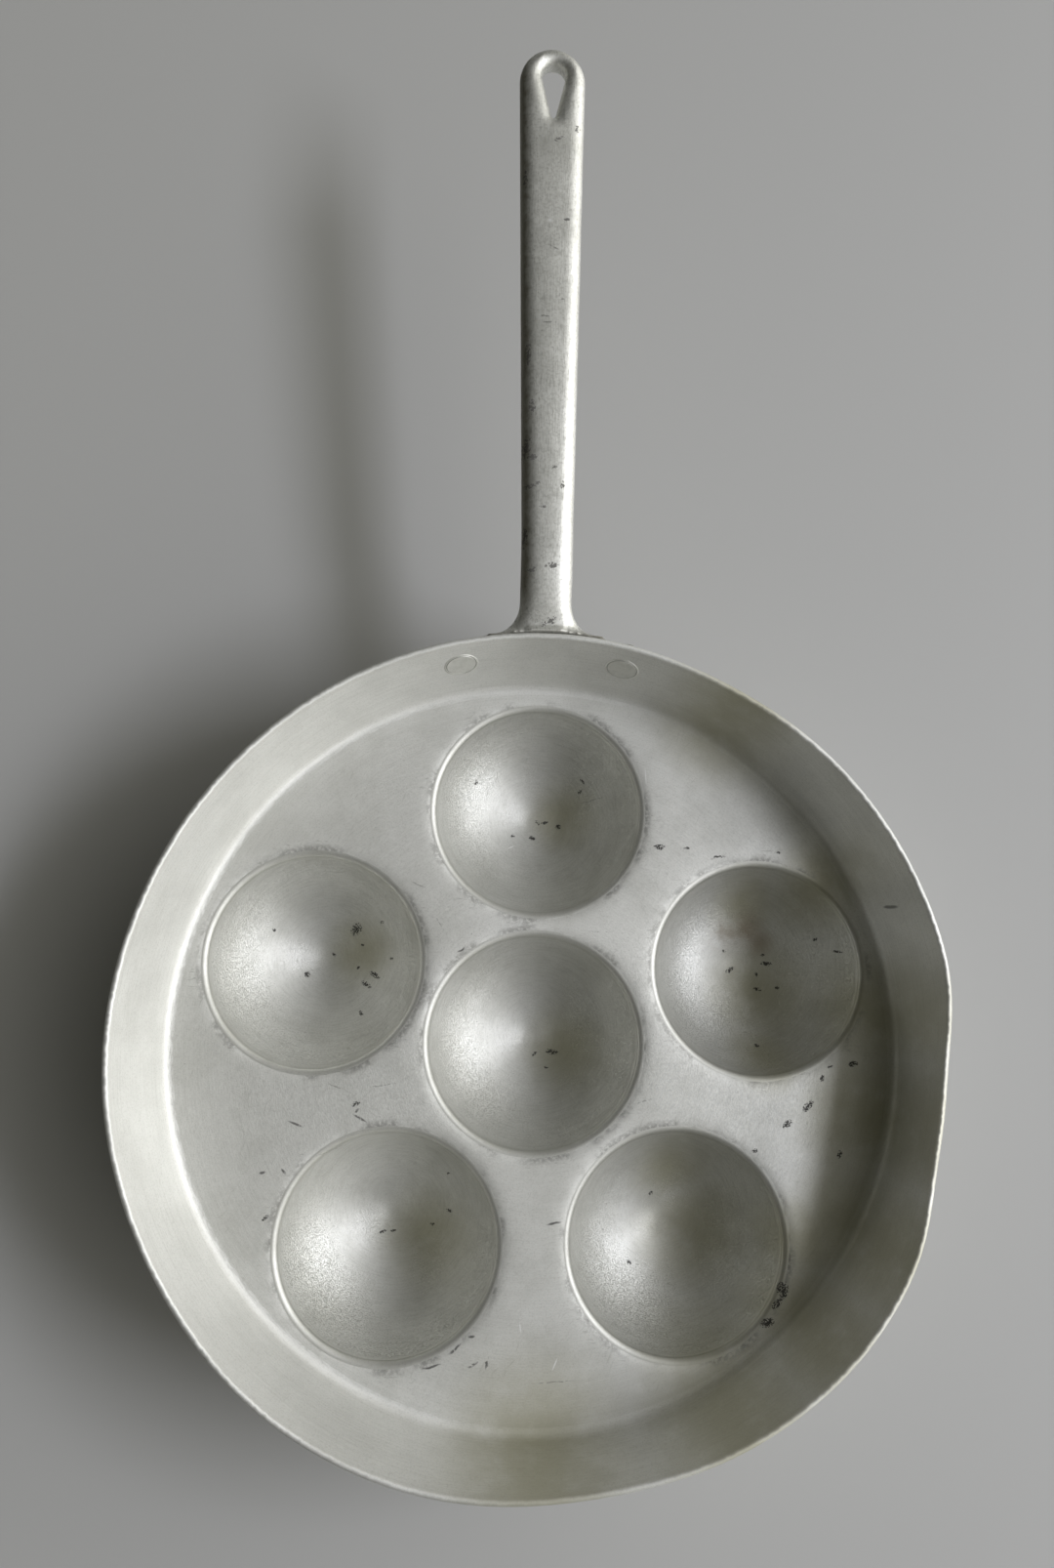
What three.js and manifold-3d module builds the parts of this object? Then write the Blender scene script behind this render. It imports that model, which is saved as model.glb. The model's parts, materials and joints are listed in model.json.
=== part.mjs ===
import * as THREE from 'three';
import { mergeVertices } from 'three/addons/utils/BufferGeometryUtils.js';
import Module from 'manifold-3d';

// A pressed aluminium pan with six deep round wells and a riveted cast handle.
// Millimetres, +Z up. The origin lies on the standing plane under the middle well, and the handle points to +Y.

// Sheet of the pan
const sheetThickness = 1.6;
const wallHeight = 24;
const wallFlare = THREE.MathUtils.degToRad(18);
const cornerRadius = 3;

// Wells drawn into the floor: one in the middle and a ring of others around it
const outerWellCount = 5;
const bowlRadius = 29.5;
const wellDepth = 25;
const lipRadius = 2;
const lipRunOut = THREE.MathUtils.degToRad(15);
const footDiameter = 12;
const webBetweenWells = 4;
const floorMargin = 2.2;

// Rivets, set square to the wall
const rivetSpacing = 45;
const rivetBelowRim = 9.7;
const rivetHeadDiameter = 8.4;
const rivetHeadProud = 0.2;
const rivetHeadSunk = 0.6;
const rivetShankDiameter = 3.2;
const buttonDiameter = 7.6;
const buttonHeight = 2.2;

// Plate at the root of the handle
const plateThickness = 2.2;
const plateWingRadius = 6;
const plateMiddleRadius = 8.5;

// Bar of the handle: it leaves the plate steeply, bends over and runs on straight, widening from there
const barReach = 165.2;
const barRise = THREE.MathUtils.degToRad(5.5);
const barAboveRivets = 9.4;
const barRootWidth = 14.1;
const barEndWidth = 18.5;
const barRootThickness = 9;
const barEndThickness = 6.5;
const barEdgeWidth = 2.6;
const barEdgeDepth = 2.6;
const rootBendLength = 30;
const rootBendRadius = 50;
const rootFilletAcross = 9;
const rootFilletUp = 3.6;

// Hanging eye, a teardrop with its point towards the pan
const eyeDiameter = 6.6;
const eyeLength = 16;
const eyeTipRadius = 0.6;
const eyeFromEnd = 4.6;

// Clearance between pieces that lie on each other, and how far a cutter overshoots the face that it leaves
const seatGap = 0.3;
const overcut = 0.5;

// Facets around each turned form, and steps along its arcs
const panFacets = 80;
const wellFacets = 28;
const rivetFacets = 24;
const bowlSteps = 7;
const roundSteps = 4;
const cornerSteps = 3;

// Heights and radii that follow from the sizes above
const bulbRadius = bowlRadius + sheetThickness;
const footRadius = footDiameter / 2;
const bowlCentreZ = Math.sqrt(bulbRadius ** 2 - footRadius ** 2);
const floorZ = bowlCentreZ - bowlRadius + wellDepth;
const rimZ = floorZ + wallHeight;
const lipCentreZ = floorZ - lipRadius;
const lipReach = Math.sqrt((bowlRadius + lipRadius) ** 2 - (lipCentreZ - bowlCentreZ) ** 2);
const wellPitch = 2 * lipReach + webBetweenWells;
const cornerCentreRadius = wellPitch + lipReach + floorMargin;
const cornerCentreZ = floorZ + cornerRadius;
const plateBack = sheetThickness + seatGap;
const plateFront = plateBack + plateThickness;
const buttonSeat = plateFront + seatGap;
const rivetZ = rimZ - rivetBelowRim;

// Radius, at height z, of a cone that runs beside the wall: offset is measured square from the wall's inner face
function wallRadius(z, offset) {
  const reach = cornerCentreRadius + (cornerRadius + offset) / Math.cos(wallFlare);
  return reach + (z - cornerCentreZ) * Math.tan(wallFlare);
}

const wasm = await Module();
wasm.setup();

// A closed geometry as a solid, with shared corners merged and the empty triangles at a turning axis dropped
function toSolid(geometry) {
  const bare = geometry.clone();
  bare.deleteAttribute('normal');
  bare.deleteAttribute('uv');
  const merged = mergeVertices(bare);
  const corners = merged.index.array;
  const triangles = [];
  for (let i = 0; i < corners.length; i += 3) {
    const [a, b, c] = corners.slice(i, i + 3);
    if (a !== b && b !== c && c !== a) {
      triangles.push(a, b, c);
    }
  }
  const vertProperties = new Float32Array(merged.attributes.position.array);
  const triVerts = new Uint32Array(triangles);
  return new wasm.Manifold(new wasm.Mesh({ numProp: 3, vertProperties, triVerts }));
}

function toGeometry(solid) {
  const { vertProperties, triVerts } = solid.getMesh();
  const geometry = new THREE.BufferGeometry();
  geometry.setAttribute('position', new THREE.BufferAttribute(new Float32Array(vertProperties), 3));
  geometry.setIndex(new THREE.BufferAttribute(new Uint32Array(triVerts), 1));
  geometry.computeVertexNormals();
  return geometry;
}

function namedMesh(name, solid, finish) {
  const mesh = new THREE.Mesh(toGeometry(solid), new THREE.MeshStandardMaterial(finish));
  mesh.name = name;
  return mesh;
}

// Profiles hold radius and height, and are turned about the Z axis
function point(radius, height) {
  return new THREE.Vector2(radius, height);
}

function arc(radius, height, size, from, to, steps) {
  return new THREE.EllipseCurve(radius, height, size, size, from, to, to < from).getPoints(steps);
}

function turned(profile, facets) {
  return new THREE.LatheGeometry(profile, facets).rotateX(Math.PI / 2);
}

// Skin over a row of rings with as many points each. A ring of one point closes an end.
function loft(rings) {
  const count = Math.max(...rings.map((ring) => ring.length));
  const corners = [];
  const triangles = [];
  for (const [i, ring] of rings.entries()) {
    for (let j = 0; j < count; j += 1) {
      corners.push(ring[j % ring.length]);
      if (i > 0) {
        const here = i * count + j;
        const next = i * count + ((j + 1) % count);
        triangles.push(here - count, next, next - count, here - count, here, next);
      }
    }
  }
  return new THREE.BufferGeometry().setFromPoints(corners).setIndex(triangles);
}

function middleOf(ring) {
  const total = ring.reduce((sum, corner) => sum.add(corner), new THREE.Vector3());
  return total.divideScalar(ring.length);
}

// Pan sheet: floor, rounded corner, flared wall and half-round rim, all of one thickness
function sheetProfile() {
  const down = -Math.PI / 2;
  const outerCorner = cornerRadius + sheetThickness;
  const rimRadius = sheetThickness / 2;
  const rimCentreZ = rimZ - rimRadius;
  const rimCentreRadius = wallRadius(rimCentreZ, rimRadius);
  return [
    point(0, floorZ - sheetThickness),
    ...arc(cornerCentreRadius, cornerCentreZ, outerCorner, down, -wallFlare, cornerSteps),
    ...arc(rimCentreRadius, rimCentreZ, rimRadius, -wallFlare, Math.PI - wallFlare, roundSteps),
    ...arc(cornerCentreRadius, cornerCentreZ, cornerRadius, -wallFlare, down, cornerSteps),
    point(0, floorZ),
  ];
}

// Outside of a well: a round bulb under the floor, with a small flat foot to stand on
function bulbProfile() {
  const topZ = floorZ - sheetThickness / 2;
  const footAngle = Math.atan2(-bowlCentreZ, footRadius);
  const topAngle = Math.asin((topZ - bowlCentreZ) / bulbRadius);
  return [
    point(0, 0),
    ...arc(0, bowlCentreZ, bulbRadius, footAngle, topAngle, bowlSteps),
    point(0, topZ),
  ];
}

// Inside of a well: a spherical bowl that rolls over a rounded lip and runs out through the floor
function bowlProfile() {
  const lipAngle = Math.atan2(lipCentreZ - bowlCentreZ, lipReach);
  const runOutAngle = Math.PI / 2 + lipRunOut;
  const lipTop = point(Math.cos(runOutAngle), Math.sin(runOutAngle)).multiplyScalar(lipRadius);
  const runOutLength = (lipRadius + overcut - lipTop.y) / Math.tan(lipRunOut);
  const topZ = floorZ + overcut;
  return [
    point(0, bowlCentreZ - bowlRadius),
    ...arc(0, bowlCentreZ, bowlRadius, -Math.PI / 2, lipAngle, bowlSteps).slice(1),
    ...arc(lipReach, lipCentreZ, lipRadius, Math.PI + lipAngle, runOutAngle, cornerSteps).slice(1),
    point(lipReach + lipTop.x + runOutLength, topZ),
    point(0, topZ),
  ];
}

function wellCentres() {
  const centres = [new THREE.Vector3()];
  for (let i = 0; i < outerWellCount; i += 1) {
    const angle = Math.PI / 2 + (i * 2 * Math.PI) / outerWellCount;
    centres.push(new THREE.Vector3(Math.cos(angle), Math.sin(angle), 0).multiplyScalar(wellPitch));
  }
  return centres;
}

// Seat of a rivet on the inner face of the wall: its own Y axis stands square to the wall and points out
const sides = { left: -1, right: 1 };

function rivetSeat(side) {
  const seatRadius = wallRadius(rivetZ, 0);
  const turn = Math.asin(rivetSpacing / 2 / seatRadius);
  const seat = new THREE.Matrix4().makeRotationZ(-side * turn);
  seat.multiply(new THREE.Matrix4().makeTranslation(0, seatRadius, rivetZ));
  return seat.multiply(new THREE.Matrix4().makeRotationX(-wallFlare));
}

// Rivet with a flat head let into the wall, a plain shank and a button head outside
function rivetProfile() {
  const headRadius = rivetHeadDiameter / 2;
  const shankRadius = rivetShankDiameter / 2;
  const buttonRadius = buttonDiameter / 2;
  const domeRadius = (buttonRadius ** 2 + buttonHeight ** 2) / (2 * buttonHeight);
  const domeCentre = buttonSeat + buttonHeight - domeRadius;
  const domeAngle = Math.acos(buttonRadius / domeRadius);
  return [
    point(0, -rivetHeadProud),
    point(headRadius, -rivetHeadProud),
    point(headRadius, rivetHeadSunk),
    point(shankRadius, rivetHeadSunk),
    point(shankRadius, buttonSeat),
    ...arc(0, domeCentre, domeRadius, domeAngle, Math.PI / 2, roundSteps).slice(0, -1),
    point(0, buttonSeat + buttonHeight),
  ];
}

// Hole for a rivet: a shallow seat in the wall and a bore on through the plate, clear of the rivet all round
function rivetHole(side) {
  const seatRadius = rivetHeadDiameter / 2 + seatGap;
  const seatDepth = rivetHeadSunk + seatGap;
  const boreRadius = rivetShankDiameter / 2 + seatGap;
  const profile = [
    point(0, -overcut),
    point(seatRadius, -overcut),
    point(seatRadius, seatDepth),
    point(boreRadius, seatDepth),
    point(boreRadius, buttonSeat),
    point(0, buttonSeat),
  ];
  return toSolid(new THREE.LatheGeometry(profile, rivetFacets).applyMatrix4(rivetSeat(side)));
}

function panSolid() {
  let pan = toSolid(turned(sheetProfile(), panFacets));
  for (const centre of wellCentres()) {
    pan = pan.add(toSolid(turned(bulbProfile(), wellFacets).translate(...centre)));
  }
  for (const centre of wellCentres()) {
    pan = pan.subtract(toSolid(turned(bowlProfile(), wellFacets).translate(...centre)));
  }
  for (const side of Object.values(sides)) {
    pan = pan.subtract(rivetHole(side));
  }
  return pan;
}

// Cone whose face lies beside the wall's outside, tall enough to reach past the plate at both ends
function wallCone(offset) {
  const lowZ = rivetZ - 2 * plateMiddleRadius;
  const highZ = rivetZ + 2 * plateMiddleRadius;
  const profile = [
    point(0, lowZ),
    point(wallRadius(lowZ, offset), lowZ),
    point(wallRadius(highZ, offset), highZ),
    point(0, highZ),
  ];
  return toSolid(turned(profile, 2 * panFacets));
}

// Face of the plate: a round middle that narrows to a round wing at each rivet, drawn out towards +Y
function plateBlock() {
  const wingX = rivetSpacing / 2;
  const upper = Math.acos((plateMiddleRadius - plateWingRadius) / wingX);
  const shape = new THREE.Shape();
  shape.absarc(wingX, rivetZ, plateWingRadius, -upper, upper);
  shape.absarc(0, rivetZ, plateMiddleRadius, upper, Math.PI - upper);
  shape.absarc(-wingX, rivetZ, plateWingRadius, Math.PI - upper, Math.PI + upper);
  shape.absarc(0, rivetZ, plateMiddleRadius, Math.PI + upper, 2 * Math.PI - upper);
  const depth = wallRadius(rimZ, buttonSeat);
  const block = new THREE.ExtrudeGeometry(shape, { depth, bevelEnabled: false, curveSegments: bowlSteps });
  return toSolid(block.rotateX(Math.PI / 2).rotateZ(Math.PI));
}

// Teardrop opening with its point towards the pan and a rounded lip on both faces, cut about z = 0
function eyeSolid(centreY, halfThickness) {
  const eyeRadius = eyeDiameter / 2;
  const tipY = centreY + eyeRadius - eyeLength + eyeTipRadius;
  const tangent = -Math.asin((eyeRadius - eyeTipRadius) / (centreY - tipY));
  const ring = ([lip, z]) => [
    ...arc(0, centreY, eyeRadius + lip, tangent, Math.PI - tangent, bowlSteps),
    ...arc(0, tipY, eyeTipRadius + lip, Math.PI - tangent, 2 * Math.PI + tangent, cornerSteps),
  ].map(({ x, y }) => new THREE.Vector3(x, y, z));
  const upper = [[barEdgeWidth, halfThickness + overcut]];
  for (let i = 0; i <= cornerSteps; i += 1) {
    const turn = ((i / cornerSteps) * Math.PI) / 2;
    upper.push([barEdgeWidth * (1 - Math.sin(turn)), halfThickness - barEdgeDepth * (1 - Math.cos(turn))]);
  }
  const lower = upper.map(([lip, z]) => [lip, -z]).reverse();
  const top = new THREE.Vector3(0, centreY, halfThickness + overcut);
  return toSolid(loft([[top], ...[...upper, ...lower].map(ring), [top.clone().setZ(-top.z)]]));
}

// How far a round fillet swells out, a distance past the face that it springs from
function filletSwell(distance, size) {
  const inside = THREE.MathUtils.clamp(size - distance, 0, size);
  return size - Math.sqrt(size ** 2 - inside ** 2);
}

// Half thickness of the bar at a distance y from the wall: an even taper, filleted up and down at the plate
function barHalfThickness(y, length, plateY) {
  const taper = THREE.MathUtils.lerp(barRootThickness, barEndThickness, y / length) / 2;
  return taper + filletSwell(y - plateY, rootFilletUp);
}

// Section of the bar at a distance y from the wall: a rectangle with rounded edges that follows the bend
function barRing(y, length, plateY) {
  const endRadius = barEndWidth / 2;
  const endCentre = length - endRadius;
  const widening = THREE.MathUtils.clamp((y - rootBendLength) / (endCentre - rootBendLength), 0, 1);
  const taper = THREE.MathUtils.lerp(barRootWidth, barEndWidth, widening) / 2;
  const pastCentre = THREE.MathUtils.clamp(y - endCentre, 0, endRadius);
  const roundEnd = Math.sqrt(endRadius ** 2 - pastCentre ** 2);
  const halfWidth = Math.min(taper + filletSwell(y - plateY, rootFilletAcross), roundEnd);
  const endDrop = barEdgeDepth * filletSwell(length - y, barEdgeWidth) / barEdgeWidth;
  const halfThickness = barHalfThickness(y, length, plateY) - endDrop;
  const edgeWidth = Math.min(barEdgeWidth, halfWidth);
  const edgeDepth = Math.min(barEdgeDepth, halfThickness);
  const bend = Math.max(rootBendLength - y, 0) ** 2 / (2 * rootBendRadius);
  const ring = [];
  for (const [quarter, sideX, sideZ] of [[0, 1, 1], [1, -1, 1], [2, -1, -1], [3, 1, -1]]) {
    for (let i = 0; i <= cornerSteps; i += 1) {
      const turn = ((quarter + i / cornerSteps) * Math.PI) / 2;
      const x = sideX * (halfWidth - edgeWidth) + edgeWidth * Math.cos(turn);
      const z = sideZ * (halfThickness - edgeDepth) + edgeDepth * Math.sin(turn);
      ring.push(new THREE.Vector3(x, y, z - bend));
    }
  }
  return ring;
}

// Bar lofted from inside the wall, past its fillet and bend, to its round end, with the eye cut through
function barSolid() {
  const rootZ = rivetZ + barAboveRivets;
  const rootY = wallRadius(rivetZ, plateBack);
  const plateY = plateThickness / Math.cos(wallFlare);
  const length = (wallRadius(rimZ, sheetThickness) + barReach - rootY) / Math.cos(barRise);
  const endRadius = barEndWidth / 2;
  const stations = [-rootFilletAcross];
  for (let i = 0; i <= bowlSteps; i += 1) {
    stations.push(plateY + rootFilletAcross * (1 - Math.cos(((i / bowlSteps) * Math.PI) / 2)));
    stations.push(length - endRadius + endRadius * Math.sin(((i / bowlSteps) * Math.PI) / 2));
  }
  for (let i = 1; i <= roundSteps; i += 1) {
    stations.push(THREE.MathUtils.lerp(plateY + rootFilletAcross, rootBendLength, i / roundSteps));
  }
  const rings = stations.sort((a, b) => a - b).map((y) => barRing(y, length, plateY));
  const bar = toSolid(loft([[middleOf(rings[0])], ...rings.slice(0, -1), [middleOf(rings.at(-1))]]));
  const eyeY = length - eyeFromEnd - eyeDiameter / 2;
  const eye = eyeSolid(eyeY, barHalfThickness(eyeY, length, plateY));
  const placed = toGeometry(bar.subtract(eye)).rotateX(barRise).translate(0, rootY, rootZ);
  return toSolid(placed);
}

function handleSolid() {
  let handle = plateBlock().intersect(wallCone(plateFront));
  handle = handle.add(barSolid());
  handle = handle.subtract(wallCone(plateBack));
  for (const side of Object.values(sides)) {
    handle = handle.subtract(rivetHole(side));
  }
  return handle;
}

const pan = new THREE.Group();
pan.add(namedMesh('pan_body', panSolid(), { color: 0xc9c9c6, roughness: 0.42, metalness: 1 }));
pan.add(namedMesh('handle', handleSolid(), { color: 0xb4b4ae, roughness: 0.5, metalness: 1 }));
for (const [name, side] of Object.entries(sides)) {
  const rivet = toSolid(new THREE.LatheGeometry(rivetProfile(), rivetFacets));
  const mesh = namedMesh(`rivet_${name}`, rivet, { color: 0xd2d2cf, roughness: 0.38, metalness: 1 });
  mesh.applyMatrix4(rivetSeat(side));
  pan.add(mesh);
}

export default pan;
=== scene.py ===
import json
import math

import bmesh
import bpy
import numpy as np
from mathutils import Euler, Matrix, Vector, noise
from mathutils.geometry import delaunay_2d_cdt


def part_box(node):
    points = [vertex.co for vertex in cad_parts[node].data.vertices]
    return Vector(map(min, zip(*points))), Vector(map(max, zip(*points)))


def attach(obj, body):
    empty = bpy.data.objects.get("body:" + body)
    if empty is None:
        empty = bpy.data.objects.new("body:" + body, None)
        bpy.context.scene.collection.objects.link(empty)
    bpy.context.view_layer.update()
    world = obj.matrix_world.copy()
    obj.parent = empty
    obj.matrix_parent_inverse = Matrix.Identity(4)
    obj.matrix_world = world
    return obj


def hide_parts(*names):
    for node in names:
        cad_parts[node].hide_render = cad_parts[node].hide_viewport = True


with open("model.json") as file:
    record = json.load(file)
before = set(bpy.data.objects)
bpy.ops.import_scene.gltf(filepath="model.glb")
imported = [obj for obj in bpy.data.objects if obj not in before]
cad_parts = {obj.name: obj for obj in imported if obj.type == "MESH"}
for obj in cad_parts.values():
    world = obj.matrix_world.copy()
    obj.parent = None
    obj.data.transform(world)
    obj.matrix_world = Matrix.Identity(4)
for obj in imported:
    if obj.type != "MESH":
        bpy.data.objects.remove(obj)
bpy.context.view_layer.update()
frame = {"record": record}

# The pan: one disc of soft aluminium sheet, drawn into a round pan with a flared wall and six deep bowls
# with rolled lips in its floor. The bowls were polished on a lathe. Years on the stove have pushed the rim
# out of round, pitted the bowls and left olive stains along one side; these are partly painted shade.
MM = 0.001
_, pan_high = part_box("pan_body")
sheet = 1.6 * MM
rim_round = sheet / 2
wall_height = 24 * MM
wall_flare = math.radians(18)
corner_round = 3 * MM
bowl_radius = 29.5 * MM
bowl_depth = 25 * MM
lip_round = 2 * MM
floor_top = pan_high.z - wall_height
bowl_middle = floor_top - bowl_depth + bowl_radius
lip_middle = floor_top - lip_round
lip_reach = math.sqrt((bowl_radius + lip_round) ** 2 - (lip_middle - bowl_middle) ** 2)
lip_meets_bowl = math.atan2(lip_middle - bowl_middle, lip_reach)
corner_middle = floor_top + corner_round
rim_rise = pan_high.z - rim_round - corner_middle
corner_reach = (pan_high.x - rim_round - (corner_round + rim_round) / math.cos(wall_flare)
                - rim_rise * math.tan(wall_flare))

# How far each bowl was pressed off its place, and how far its polishing axis lies off its middle (mm).
pressed_off_place = {
    "well_middle": (-0.7, -0.1), "well_1": (0.2, -0.9), "well_2": (0.7, 1.3),
    "well_3": (-1.0, -0.1), "well_4": (-0.2, -0.1), "well_5": (0.4, -0.1),
}
polished_off_middle = {
    "well_middle": (1.0, 2.0), "well_1": (0.5, 0.5), "well_2": (2.0, 2.0),
    "well_3": (0.7, 6.0), "well_4": (-1.0, 5.0), "well_5": (-2.0, 2.0),
}
bowls = {}
polish_axes = {}
for opening in frame["record"]["physics"]["openings"]:
    name = opening["name"]
    if name in pressed_off_place:
        low, high = (Vector(corner) for corner in opening["box_m"])
        bowls[name] = ((low + high) / 2).to_2d() + Vector(pressed_off_place[name]) * MM
        polish_axes[name] = bowls[name] / MM + Vector(polished_off_middle[name])

# Bends of the rim: how far out (mm), where and how wide (degrees), and how square their shoulders are.
rim_bends = [
    (-4.15, -9.7, 15, 3), (-2.35, -82, 19, 2), (-1.0, 63, 15, 2),
    (0.8, -177, 20, 2), (0.45, -130, 12, 2), (0.45, -42, 10, 2),
]


def wall_reach(height, out):
    """Reach of the wall from the pan's axis at a height, on its inside (out = 0) or further out."""
    return (corner_reach + (corner_round + out) / math.cos(wall_flare)
            + (height - corner_middle) * math.tan(wall_flare))


lip_dip = 0.4 * MM
lip_dip_reach = 1.4 * MM
lip_dip_rings = [0.45 * MM, 1.0 * MM, 1.8 * MM, 2.8 * MM]
bend_fade = 1.3
floor_unevenness = 0.25 * MM
waves_in_a_metre = 22


def bent_by_use(point):
    """A point of the pan as it is: the floor drawn down towards each lip and a little uneven, the rim
    pushed in and out by years of use."""
    turn = math.degrees(math.atan2(point.y, point.x))
    push = 0
    for depth, middle, width, shape in rim_bends:
        away = (turn - middle + 180) % 360 - 180
        push += depth * MM * math.exp(-abs(away / width) ** shape)
    up_wall = max(point.z - floor_top, 0) / wall_height
    scale = 1 + push * up_wall ** bend_fade / max(point.to_2d().length, corner_reach)
    off_foot = min(max(point.z / floor_top, 0), 1)
    uneven = floor_unevenness * noise.noise(point * waves_in_a_metre)
    uneven *= off_foot * (1 - min(up_wall * 2, 1))
    gap = max(min((point.to_2d() - middle).length for middle in bowls.values()) - lip_reach, 0)
    drawn_down = lip_dip * math.exp(-gap / lip_dip_reach) * off_foot ** 2
    return Vector((point.x * scale, point.y * scale, point.z + uneven - drawn_down))


class Skin:
    """The points and faces of a piece in the making. A face keeps the axis that it was polished about,
    in millimetres, with the kind of surface as its third number."""

    def __init__(self):
        self.points = []
        self.along = []
        self.faces = []
        self.axes = []

    def ring(self, points, along):
        first = len(self.points)
        self.points.extend(points)
        self.along.extend([along] * len(points))
        return list(range(first, len(self.points)))

    def face(self, corners, axis):
        self.faces.append(corners)
        self.axes.append(axis)

    def band(self, ring, next_ring, axis):
        for i, corner in enumerate(ring):
            self.face((ring[i - 1], corner, next_ring[i], next_ring[i - 1]), axis)

    def cap(self, ring, tip, axis):
        for i, corner in enumerate(ring):
            self.face((ring[i - 1], corner, tip), axis)


def make_piece(name, points, faces):
    """A smooth shaded object from points and faces, with its normals pointing outwards."""
    mesh = bpy.data.meshes.new(name)
    mesh.from_pydata([tuple(p) for p in points], [], faces)
    work = bmesh.new()
    work.from_mesh(mesh)
    bmesh.ops.recalc_face_normals(work, faces=work.faces)
    work.to_mesh(mesh)
    work.free()
    mesh.polygons.foreach_set("use_smooth", [True] * len(mesh.polygons))
    piece = bpy.data.objects.new(name, mesh)
    bpy.context.scene.collection.objects.link(piece)
    return piece


def circle(middle, reach, height, count):
    turns = [2 * math.pi * i / count for i in range(count)]
    return [Vector((middle.x + reach * math.cos(t), middle.y + reach * math.sin(t), height)) for t in turns]


bowl_facets = 144
wall_facets = 360
bowl_rings = 56
ring_crowding = 0.8
lip_rings = 16
corner_rings = 8
wall_rings = 18
floor_grid = 3 * MM
grid_off_lip = lip_dip_rings[-1] + 0.4 * floor_grid
grid_reach = corner_reach - 0.6 * floor_grid
same_spot = 1e-7
inside_lip = 0.999
crease_depth = 0.18 * MM
crease_width = 0.42 * MM
lathe_mark_height = 0.05 * MM
lathe_mark_reach = 1.5 * MM
BOWL, FLOOR, WALL, OUTSIDE = range(4)


def bowl_profile(out):
    """(reach, height, way along it) of a bowl from its bottom over the lip to the floor."""
    start = -math.pi / 2
    rows = []
    for i in range(1, bowl_rings + 1):
        share = i / bowl_rings - ring_crowding * math.sin(2 * math.pi * i / bowl_rings) / (2 * math.pi)
        turn = start + (lip_meets_bowl - start) * share
        way = bowl_radius * (turn - start)
        to_lip = bowl_radius * (lip_meets_bowl - turn)
        radius = bowl_radius + out
        if out == 0:
            radius += crease_depth * math.exp(-(to_lip / crease_width) ** 2)
            radius -= lathe_mark_height * math.exp(-(way / lathe_mark_reach) ** 4)
        rows.append((radius * math.cos(turn), bowl_middle + radius * math.sin(turn), way))
    bowl_way = bowl_radius * (lip_meets_bowl - start)
    for i in range(1, lip_rings + 1):
        turn = math.pi + lip_meets_bowl + (-math.pi / 2 - lip_meets_bowl) * i / lip_rings
        way = lip_round * (math.pi / 2 + lip_meets_bowl) * i / lip_rings
        radius = lip_round - out
        if out == 0:
            radius -= crease_depth * math.exp(-(way / crease_width) ** 2)
        reach = lip_reach + radius * math.cos(turn)
        rows.append((reach, lip_middle + radius * math.sin(turn), bowl_way + way))
    return rows


def floor_net():
    """The flat floor between the lips and the wall's corner as points in plan and triangles."""
    plan = []
    loops = []
    for middle in list(bowls.values()) + [Vector((0, 0))]:
        is_wall = len(loops) == len(bowls)
        count = wall_facets if is_wall else bowl_facets
        reach = corner_reach if is_wall else lip_reach
        loops.append(list(range(len(plan), len(plan) + count)))
        plan.extend(p.to_2d() for p in circle(middle, reach, 0, count))
    for middle in bowls.values():
        others = [other for other in bowls.values() if other is not middle]
        for gap in lip_dip_rings:
            for spot in circle(middle, lip_reach + gap, 0, bowl_facets):
                nearest = min((spot.to_2d() - other).length for other in others) - lip_reach
                if nearest > gap + lip_dip_rings[0] / 2 and spot.length < corner_reach - lip_dip_rings[0]:
                    plan.append(spot.to_2d())
    rows = int(corner_reach / floor_grid) + 1
    for row in range(-rows, rows + 1):
        for column in range(-rows, rows + 1):
            spot = Vector((column + row % 2 / 2, row * math.sqrt(3) / 2)) * floor_grid
            clear = min((spot - middle).length - lip_reach for middle in bowls.values())
            if clear > grid_off_lip and spot.length < grid_reach:
                plan.append(spot)
    edges = [(loop[i - 1], loop[i]) for loop in loops for i in range(len(loop))]
    net, _, triangles, came_from, _, _ = delaunay_2d_cdt(plan, edges, [], 0, same_spot)
    kept = []
    for triangle in triangles:
        middle = sum((net[i] for i in triangle), Vector((0, 0))) / 3
        if min((middle - bowl).length for bowl in bowls.values()) > lip_reach * inside_lip:
            kept.append([came_from[i][0] for i in triangle])
    return plan, loops, kept


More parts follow.
